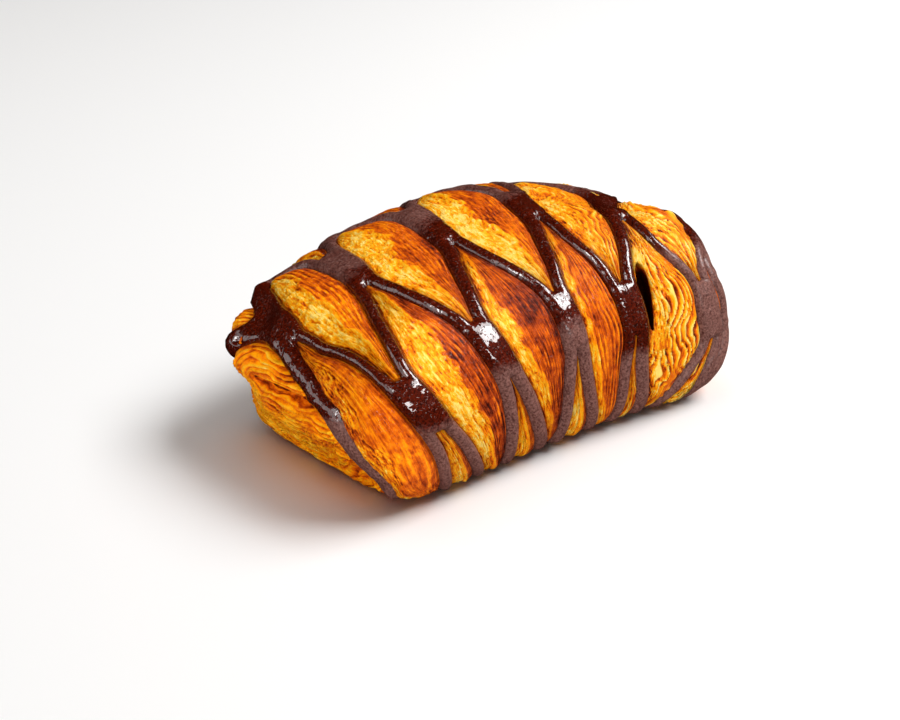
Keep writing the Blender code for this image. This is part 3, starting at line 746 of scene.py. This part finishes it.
def split_cutter():
    """The lens that opens the split down to the filling. It narrows downwards."""
    run = Vector(SPLIT_RUN).normalized()
    inward = Vector(SPLIT_INWARD)
    inward = (inward - inward.dot(run) * run).normalized()
    size = (SPLIT_WIDTH, SPLIT_LENGTH, SPLIT_DEPTH + SPLIT_OUTSIDE)
    place = Vector(SPLIT_PLACE) + inward * (SPLIT_DEPTH - SPLIT_OUTSIDE) / 2
    rotation = Matrix((run.cross(inward), run, inward)).transposed().to_euler()
    cutter = make_cutter("split", size, place, rotation)
    for vertex in cutter.data.vertices:
        vertex.co.x *= split_taper(vertex.co.y / SPLIT_LENGTH)
    return cutter


def cut(thing, cutter):
    """Take the cutter's shape out of the thing and remove the cutter."""
    boolean = thing.modifiers.new("cut", "BOOLEAN")
    boolean.operation = "DIFFERENCE"
    boolean.solver = "MANIFOLD"
    boolean.object = cutter
    bpy.context.view_layer.update()
    mesh = bpy.data.meshes.new_from_object(thing.evaluated_get(bpy.context.evaluated_depsgraph_get()))
    thing.modifiers.clear()
    thing.data = mesh
    bpy.data.objects.remove(cutter, do_unlink=True)


def open_crust(crust):
    """Cut the filling's channel and the split that shows it, with walls darkened deeper in by painted shade
    and a pale arch.
    """
    size = [side + 2 * CLEARANCE for side in FILLING_SIZE]
    cut(crust, make_cutter("channel", size, FILLING_PLACE, (0, 0, 0), FILLING_EDGE + CLEARANCE))
    splitter = split_cutter()
    bpy.context.view_layer.update()
    inverse = splitter.matrix_world.inverted()
    cut(crust, splitter)
    tones = crust.data.attributes["tone"].data
    half_height = (SPLIT_DEPTH + SPLIT_OUTSIDE) / 2
    for vertex in crust.data.vertices:
        across, run, depth = inverse @ vertex.co
        if abs(depth) > half_height + MM:
            continue
        run = run / SPLIT_LENGTH
        distance = math.hypot(across / SPLIT_WIDTH / max(split_taper(run), LEAST_TAPER), run)
        upper = blend(-run, *SPLIT_ARCH)
        if distance < SPLIT_WALL:
            # Painted shade: the split's walls darken with depth
            inside = blend(depth + half_height - SPLIT_OUTSIDE, 0.0, SPLIT_TONE_AND_DEPTH_SHADE[2])
            dark = SPLIT_TONE_AND_DEPTH_SHADE[0] + SPLIT_TONE_AND_DEPTH_SHADE[1] * inside
            tones[vertex.index].value = dark * (1 - upper) + ARCH_TONES[0] * upper
        elif distance < SPLIT_RIM:
            tones[vertex.index].value *= 1 - ARCH_TONES[1] * upper


# ---- the chocolate net


def soft_maximum(first, second):
    """The larger of two values, rounded off where they are close."""
    share = np.clip(0.5 + 0.5 * (first - second) / NET_BLEND, 0, 1)
    return second + (first - second) * share + NET_BLEND * share * (1 - share)


def net_field(polar, degrees, number, strips):
    """How deep inside the net a point is: 1 on a strip's middle line, 0 at its edge."""
    girth = np.radians(degrees)
    crown = 0 * polar
    near = strips[max(number - 1, 0):number + 2]
    total, *others = (1 - np.abs(polar - centre) / half for centre, half in near)
    for value in others:
        total = soft_maximum(total, value)
    along = size_of(roll_slopes(polar, girth)[1]) * math.radians(1) / STRIP_HALF_WIDTHS[number]
    for left in range(max(number - 1, 0), min(number + 1, len(strips) - 1)):
        (high, high_half), (low, low_half) = strips[left:left + 2]
        half = (high_half + low_half) / 2
        outside = np.maximum(np.maximum(polar - high, low - polar), 0) / half
        for start, end in joined_girths(left):
            inside = np.minimum(degrees - start, end - degrees) * along
            total = soft_maximum(total, np.minimum(inside, 1) - outside)
            middle = (high + low) / 2
            sag = 1 - ((polar - middle) / ((high - low) / 2 + half)) ** 2
            crown = np.maximum(crown, np.clip(sag, 0, 1) * blend(inside, 0.0, NET_CROWN_REACH))
        if left == 0:
            share = np.clip((high - polar) / (high - low), 0, 1)
            inside = np.minimum(degrees - film_arch(share), FILM_TOP - degrees) * along
            total = soft_maximum(total, np.minimum(inside, 1) * FILM_FIELD - outside)
    ends = np.minimum(degrees - NET_END_BACK, NET_END_FRONT - degrees) * along
    centre = roll_point(np.arccos(KNOB_HOLE[0] / HALF_LENGTH), math.radians(KNOB_HOLE[1]))
    hole = size_of(roll_point(polar, girth) - centre) / KNOB_HOLE_RADIUS - 1
    return np.minimum(np.minimum(total, ends), hole), crown


def net_height(field, crown):
    """Height of the net over the smooth roll; beside a strip it dips into the crust."""
    inside = np.clip(field, 0, 1)
    dome = (1 - (1 - inside) ** NET_SHOULDER) ** (1 / NET_SHOULDER)
    height = -VALLEY_DEPTH + (STRIP_RISE + VALLEY_DEPTH) * dome + NET_CROWN * crown
    return height - NET_DIP * np.clip(-field / NET_MARGIN, 0, 1)


def net_rings(degrees):
    """Rings of the net: lines over each strip, from its left margin to its right one."""
    strips = strip_lines(degrees)
    rings = []
    for number, (centre, half) in enumerate(strips):
        left, right = strip_edges(strips, number, degrees, net_joined, NET_MARGIN)
        for share in NET_SHARES[:-1]:
            rings.append((number, left + (centre - left) * share))
        for share in reversed(NET_SHARES):
            rings.append((number, right + (centre - right) * share))
    return rings, strips


def net_joined(strips, number, degrees):
    """Where the margins of a strip and the next one meet, and on which line."""
    widths = sum(STRIP_HALF_WIDTHS[max(number, 0):number + 2])
    joined, meeting = joined_with_next(strips, number, degrees, NET_MARGIN * widths)
    if number == 0:
        joined |= ((degrees > FILM_END - FILM_MARGIN[0]) & (degrees < FILM_TOP + FILM_MARGIN[1]))
    return joined, meeting


def matte_and_sheen_share(number, degrees):
    """How matte a strip is at each girth, and so how much painted sheen its colour takes: 0 glossy, 1 matte.
    """
    front = blend(degrees, MATTE_SHEEN_STARTS[number] - MATTE_REACH, MATTE_SHEEN_STARTS[number] + MATTE_REACH)
    crest = CREST_MATTE_SHEEN * blend(degrees, *MATTE_SHEEN_CREST) * (number > 1)
    return np.maximum(front, crest)


def make_net():
    """The chocolate net as a closed mesh, sunk a little into the crust."""
    degrees = np.linspace(NET_END_BACK, NET_END_FRONT, NET_COLUMNS)
    girth = np.radians(degrees)
    rings, strips = net_rings(degrees)
    polar = np.array([line for number, line in rings])
    fields = [net_field(line, degrees, number, strips) for number, line in rings]
    fields, crowns = (np.array(part) for part in zip(*fields))
    heights = net_height(fields, crowns)
    length, width = NET_RIPPLES
    ripples = hills(degrees[None, :] / length + 0 * polar, polar * HALF_LENGTH / MM / width, 300) - 0.5
    heights += NET_RIPPLE_HEIGHT * ripples * np.clip(fields, 0, 1)
    points = surface_point(polar, girth[None, :], heights)
    per_strip = 2 * len(NET_SHARES) - 1
    starts = range(0, len(rings), per_strip)
    numbers = grid_numbers(points)
    faces = grid_faces(numbers, wrap=False, skip=range(per_strip - 1, len(rings), per_strip))
    lower_rings = [start + place for start in starts for place in (0, per_strip // 2, per_strip - 1)]
    count = polar.size
    lower = numbers[lower_rings] + count
    lower_faces = [face[::-1] for face in grid_faces(lower, wrap=False, skip=range(2, len(lower), 3))]
    depths = surface_point(polar, girth[None, :], np.full(polar.shape, NET_BOTTOM))
    walls = wall_faces(faces, count, set(lower.ravel().tolist()))
    for column in (0, len(degrees) - 1):
        for number, start in enumerate(starts):
            top = numbers[start:start + per_strip, column].tolist()
            bottom = lower[3 * number:3 * number + 3, column].tolist()
            loop = top + bottom[::-1]
            walls.append(loop if column == 0 else loop[::-1])
    flat = np.concatenate([points.reshape(-1, 3), depths.reshape(-1, 3)])
    # How matte each strip is; the shader also mixes in a painted greyish sheen by it
    dull_and_sheen = np.array([matte_and_sheen_share(number, degrees) for number, line in rings] * 2)
    return mesh_object("chocolate_net", flat, faces + lower_faces + walls, [("dull_and_sheen", dull_and_sheen.ravel())])


def wall_faces(faces, count, lower):
    """Side faces between the open edges of the top and the bottom under them."""
    edges = {(face[place - 1], corner) for face in faces for place, corner in enumerate(face)}
    return [[end, start, start + count, end + count] for start, end in edges
            if (end, start) not in edges and start + count in lower and end + count in lower]


# ---- materials


def colour(*screen):
    """A colour given as it looks on a screen, 0 to 255, in linear values."""
    return tuple((value / 255) ** 2.2 for value in screen) + (1.0,)


class Shader:
    """A material's node tree. An input is named with _ for a space, or by its number as n0 or n1."""

    def __init__(self, name):
        self.material = bpy.data.materials.new(name)
        self.material.use_nodes = True
        self.tree = self.material.node_tree

    def set(self, node, **inputs):
        for key, value in inputs.items():
            numbered = key[0] == "n" and key[1:].isdigit()
            socket = node.inputs[int(key[1:]) if numbered else key.replace("_", " ")]
            if isinstance(value, bpy.types.NodeSocket):
                self.tree.links.new(value, socket)
            else:
                socket.default_value = value

    def surface(self, **inputs):
        self.set(self.tree.nodes["Principled BSDF"], **inputs)

    def add(self, kind, settings=None, output=0, **inputs):
        node = self.tree.nodes.new(kind)
        for key, value in (settings or {}).items():
            setattr(node, key, value)
        self.set(node, **inputs)
        return node.outputs[output]

    def math(self, operation, total, *values):
        """The values joined by one operation, from left to right."""
        for value in values:
            total = self.add("ShaderNodeMath", {"operation": operation}, n0=total, n1=value)
        return total

    def sum(self, *values):
        return self.math("ADD", *values)

    def product(self, *values):
        return self.math("MULTIPLY", *values)

    def attribute(self, name, output="Fac"):
        return self.add("ShaderNodeAttribute", {"attribute_name": name}, output)

    def place(self):
        return self.add("ShaderNodeTexCoord", output="Object")

    def noise(self, vector, scale, detail=2.0, roughness=0.6):
        return self.add("ShaderNodeTexNoise", Vector=vector, Scale=scale, Detail=detail, Roughness=roughness)

    def grain(self, scales, detail, roughness=0.6):
        """Noise with scales across the layers, along them and through them."""
        grain = self.add("ShaderNodeVectorMath", {"operation": "MULTIPLY"},
                         n0=self.attribute("grain", "Vector"), n1=scales)
        return self.noise(grain, 1.0, detail, roughness)

    def weighted(self, value, weight):
        """A value around 0.5 as one around 0, times a weight."""
        return self.product(self.math("SUBTRACT", value, 0.5), weight)

    def moved(self, value, low, high, first, last):
        """The value moved from one span to another and held in it."""
        return self.add("ShaderNodeMapRange", Value=value, n1=low, n2=high, n3=first, n4=last)

    def bump(self, height, distance, strength=1.0, **inputs):
        return self.add("ShaderNodeBump", Height=height, Distance=distance, Strength=strength, **inputs)

    def ramp(self, value, *stops):
        """Colours, given as they look on a screen, at places from 0 to 1."""
        node = self.tree.nodes.new("ShaderNodeValToRGB")
        self.set(node, Fac=value)
        elements = node.color_ramp.elements
        for number, (place, *tint) in enumerate(stops):
            element = elements[number] if number < 2 else elements.new(place)
            element.position = place
            element.color = colour(*tint)
        return node.outputs[0]


def crust_material():
    """Egg-washed laminated dough, from cream crumb to dark brown layers."""
    tree = Shader("baked_crust")
    torn = tree.attribute("torn")
    place = tree.place()
    lines = tree.grain((2.9, 0.2, 0.0), 3.0)
    streaks = tree.grain((0.9, 0.1, 0.0), 2.0, 0.5)
    flakes = tree.grain((0.0, 0.4, 1.3), 3.0)
    specks = tree.grain((0.0, 0.8, 2.0), 2.0)
    mottle = tree.noise(place, 420.0, 3.0)
    rough = tree.product(tree.weighted(flakes, 1.1), tree.sum(torn, 0.25))
    # Dark flecks, and pale flecks that are painted glints
    flecks_and_glints = tree.math("SUBTRACT", tree.moved(specks, 0.42, 0.32, 0.0, 0.22),
                         tree.moved(specks, 0.56, 0.7, 0.0, 0.24))
    flecks_and_glints = tree.product(flecks_and_glints, tree.sum(torn, 0.35))
    value = tree.sum(tree.attribute("tone"), tree.weighted(lines, 0.65), tree.weighted(streaks, 0.4),
                       rough, tree.weighted(mottle, 0.55), flecks_and_glints)
    tint = tree.ramp(value, (0.0, 255, 212, 105), (0.07, 255, 192, 48), (0.3, 255, 160, 8),
                       (0.45, 246, 130, 6), (0.6, 212, 90, 6), (0.75, 156, 56, 8), (0.9, 90, 28, 6),
                       (1.0, 50, 14, 4))
    flaky = tree.product(tree.sum(flakes, specks), tree.product(torn, 0.7))
    fine = tree.product(tree.noise(place, 1500.0), 0.3)
    relief = tree.bump(tree.sum(lines, flaky, fine), 0.0009, 0.9)
    grit = tree.noise(place, 1000.0)
    facets = tree.bump(grit, 0.0009, Normal=relief)
    tree.surface(Base_Color=tint, Normal=relief, Roughness=0.6, Specular_IOR_Level=0.08,
                   Coat_Weight=tree.moved(grit, 0.54, 0.62, 0.3, 1.0), Coat_Roughness=0.14,
                   Coat_Normal=facets)
    return tree.material


def chocolate_material():
    """Dark chocolate, from glossy and reddish to satin where it is dull; the greyer tint there is partly a
    painted sheen of the pale table and surroundings.
    """
    tree = Shader("chocolate_net")
    place = tree.place()
    dull_and_sheen = tree.sum(tree.weighted(tree.attribute("dull_and_sheen"), 2.2), 0.5,
                      tree.weighted(tree.noise(place, 160.0, 3.0), 1.6),
                      tree.weighted(tree.noise(place, 1100.0), 1.4))
    speckle = tree.noise(place, 1800.0)
    glossy = tree.ramp(speckle, (0.3, 30, 8, 3), (0.7, 84, 25, 9))
    # The matte tint is greyer and lighter: partly duller chocolate, partly a painted sheen of the pale table
    # and surroundings
    matte = tree.ramp(speckle, (0.3, 62, 33, 29), (0.7, 124, 86, 78))
    tint = tree.add("ShaderNodeMix", {"data_type": "RGBA"}, 2, n0=dull_and_sheen, n6=glossy, n7=matte)
    swells = tree.bump(tree.noise(place, 330.0, 2.0, 0.5), 0.0003)
    grit = tree.moved(tree.noise(place, 1300.0), 0.6, 0.68, 0.0, 1.0)
    tree.surface(Base_Color=tint, Normal=tree.bump(speckle, 0.00016, 0.6), Roughness=0.5,
                   Specular_IOR_Level=0.02, Coat_Weight=tree.moved(dull_and_sheen, 0.0, 1.0, 1.0, 0.35),
                   Coat_Roughness=tree.moved(dull_and_sheen, 0.0, 1.0, 0.06, 0.3),
                   Coat_Normal=tree.bump(grit, 0.0001, Normal=swells))
    return tree.material


def filling_material():
    """Baked dark chocolate, duller than the net."""
    tree = Shader("dark_chocolate")
    lumps = tree.noise(tree.place(), 500.0, 3.0)
    tint = tree.ramp(lumps, (0.35, 34, 14, 8), (0.65, 60, 26, 14))
    tree.surface(Base_Color=tint, Normal=tree.bump(lumps, 0.0004, 0.5), Roughness=0.4)
    return tree.material


# ---- the stage

CAMERA_PLACE = (-0.29248, -0.36137, 0.22978)
CAMERA_ANGLES = (38.43, 25.13, 1.66)  # azimuth, elevation and roll in degrees
CAMERA_LENS = 76.0
CLIP_START = 0.01


def make_camera():
    """The camera at the photograph's place and angle."""
    azimuth, elevation, roll = (math.radians(angle) for angle in CAMERA_ANGLES)
    forward = Vector((math.sin(azimuth) * math.cos(elevation), math.cos(azimuth) * math.cos(elevation),
                      -math.sin(elevation)))
    level = Vector((math.cos(azimuth), -math.sin(azimuth), 0))
    right = level * math.cos(roll) - level.cross(forward) * math.sin(roll)
    axes = Matrix((right, right.cross(forward), -forward)).transposed().to_4x4()
    data = bpy.data.cameras.new("camera")
    data.lens = CAMERA_LENS
    data.clip_start = CLIP_START
    camera = new_object("camera", data)
    camera.matrix_world = Matrix.Translation(Vector(CAMERA_PLACE) + Vector(CENTRING)) @ axes
    bpy.context.scene.camera = camera


def make_floor():
    """A wide pale floor, which isn't mirrored."""
    bpy.ops.mesh.primitive_plane_add(size=FLOOR_SIZE)
    floor = bpy.context.object
    floor.name = "floor"
    tree = Shader("white_table")
    tree.surface(Base_Color=colour(247, 247, 247), Roughness=0.45)
    floor.data.materials.append(tree.material)
    floor.visible_glossy = False
    return floor


def make_light(name, place, size, power, mirrored=True):
    """A soft panel that points at the roll. Unless it is mirrored, it leaves no highlight."""
    data = bpy.data.lights.new(name, "AREA")
    data.shape = "RECTANGLE"
    data.size, data.size_y = size
    data.energy = power
    light = new_object(name, data)
    light.location = place
    light.visible_glossy = mirrored
    light.visible_camera = False
    light.rotation_euler = (Vector(LIGHT_TARGET) - Vector(place)).to_track_quat("-Z", "Y").to_euler()
    return light


def light_only(light, *things):
    """Let a light fall on these things and no others."""
    receivers = bpy.data.collections.new("lit_by_" + light.name)
    for thing in things:
        receivers.objects.link(thing)
    light.light_linking.receiver_collection = receivers


def make_world():
    """Even, slightly warm surroundings, which aren't mirrored."""
    world = bpy.data.worlds.new("world")
    world.use_nodes = True
    background = world.node_tree.nodes["Background"]
    background.inputs["Color"].default_value = SURROUNDINGS
    background.inputs["Strength"].default_value = SURROUNDINGS_STRENGTH
    bpy.context.scene.world = world
    world.cycles_visibility.glossy = False


def main():
    make_camera()
    make_world()
    floor = make_floor()
    make_light("key", *KEY_LIGHT)
    make_light("overhead", *OVERHEAD_LIGHT, mirrored=False)
    floor_panel = make_light("floor_panel", *FLOOR_LIGHT, mirrored=False)
    light_only(floor_panel, floor)
    crust = make_crust()
    open_crust(crust)
    crust.data.materials.clear()
    crust.data.materials.append(crust_material())
    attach(crust, "root")
    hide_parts("pastry")
    net = make_net()
    net.data.materials.append(chocolate_material())
    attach(net, "root")
    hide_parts("pastry")
    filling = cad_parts["chocolate_filling"]
    filling.data.materials.clear()
    filling.data.materials.append(filling_material())
    light_only(make_light("fill", *FILL_LIGHT, mirrored=False), crust, net, filling)
    light_only(make_light("right_fill", *RIGHT_FILL_LIGHT, mirrored=False), net)
    for panel in HIGHLIGHT_PANELS:
        highlight = make_light(*panel)
        highlight.visible_diffuse = False
        light_only(highlight, net)
    bpy.context.scene.view_settings.view_transform = "Standard"


main()
